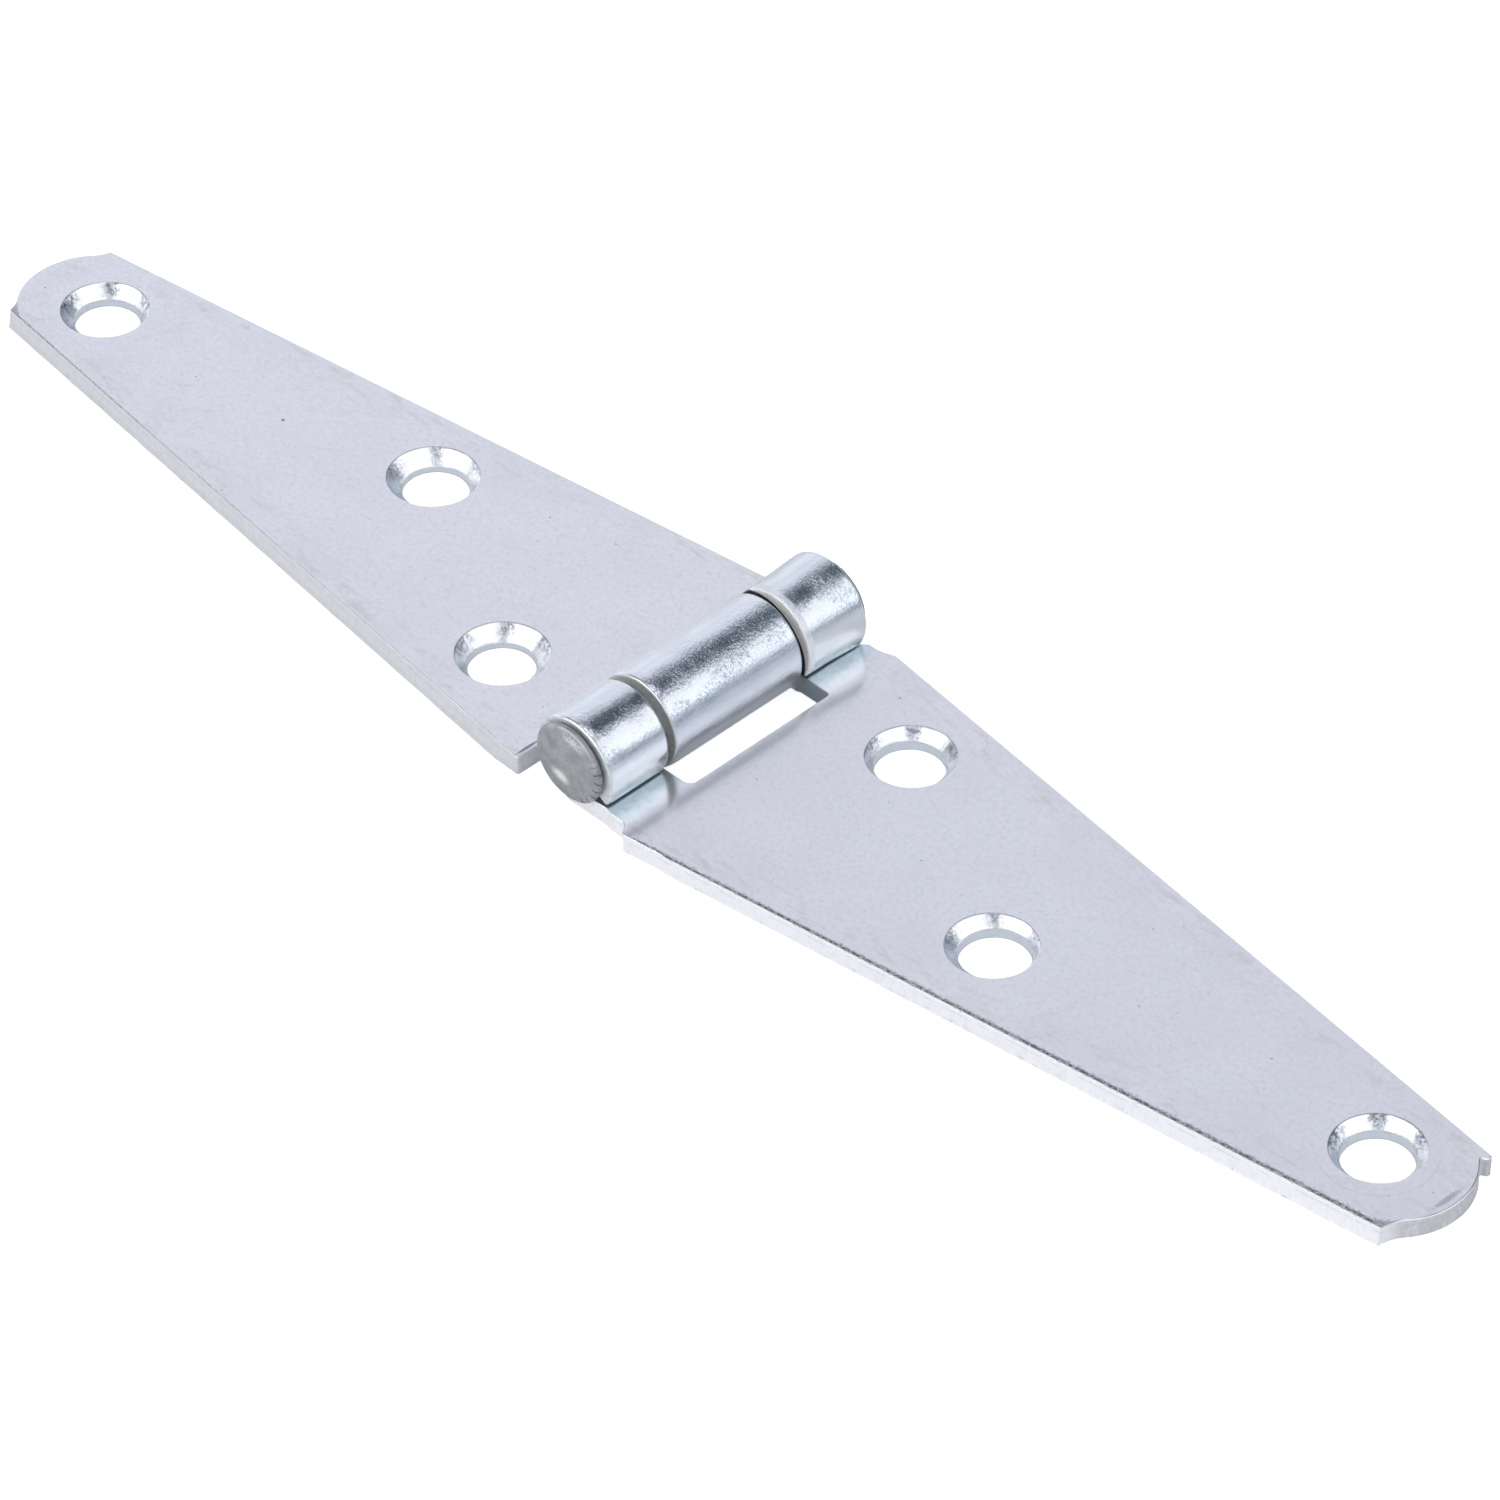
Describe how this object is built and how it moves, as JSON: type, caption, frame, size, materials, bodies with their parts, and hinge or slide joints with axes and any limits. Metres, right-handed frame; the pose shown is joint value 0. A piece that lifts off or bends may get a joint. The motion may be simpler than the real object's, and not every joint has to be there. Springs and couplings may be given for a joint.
{
  "type": "strap hinge",
  "caption": "Light plated steel strap hinge: two tapered leaves with ogee tips and staggered countersunk screw holes, folding on a peened pin through rolled knuckles.",
  "frame": {"origin": "on the mounting plane (the backs of both leaves, z = 0), straight under the middle of the pin", "axes": "+X along the leaf with two knuckles, towards its tip; +Y along the pin; +Z out of the mounting plane, towards the barrel and the countersunk face"},
  "size_m": [0.1524, 0.0288, 0.0082],
  "materials": {
    "leaf_plate": "bright zinc plate, smooth and fairly glossy, faint spangle on the rolled knuckles",
    "pin_steel": "bare steel, matt, with fine crimp marks round the formed head"
  },
  "bodies": {
    "two_knuckle_side": {"two_knuckle_leaf": "leaf_plate", "hinge_pin": "pin_steel"},
    "one_knuckle_side": {"one_knuckle_leaf": "leaf_plate"}
  },
  "joints": [
    {"name": "leaf_fold", "type": "hinge", "parent": "two_knuckle_side", "child": "one_knuckle_side", "pos_m": [0, 0, 0.00408], "axis": [0, 1, 0], "range_deg": [-105, 180]}
  ]
}
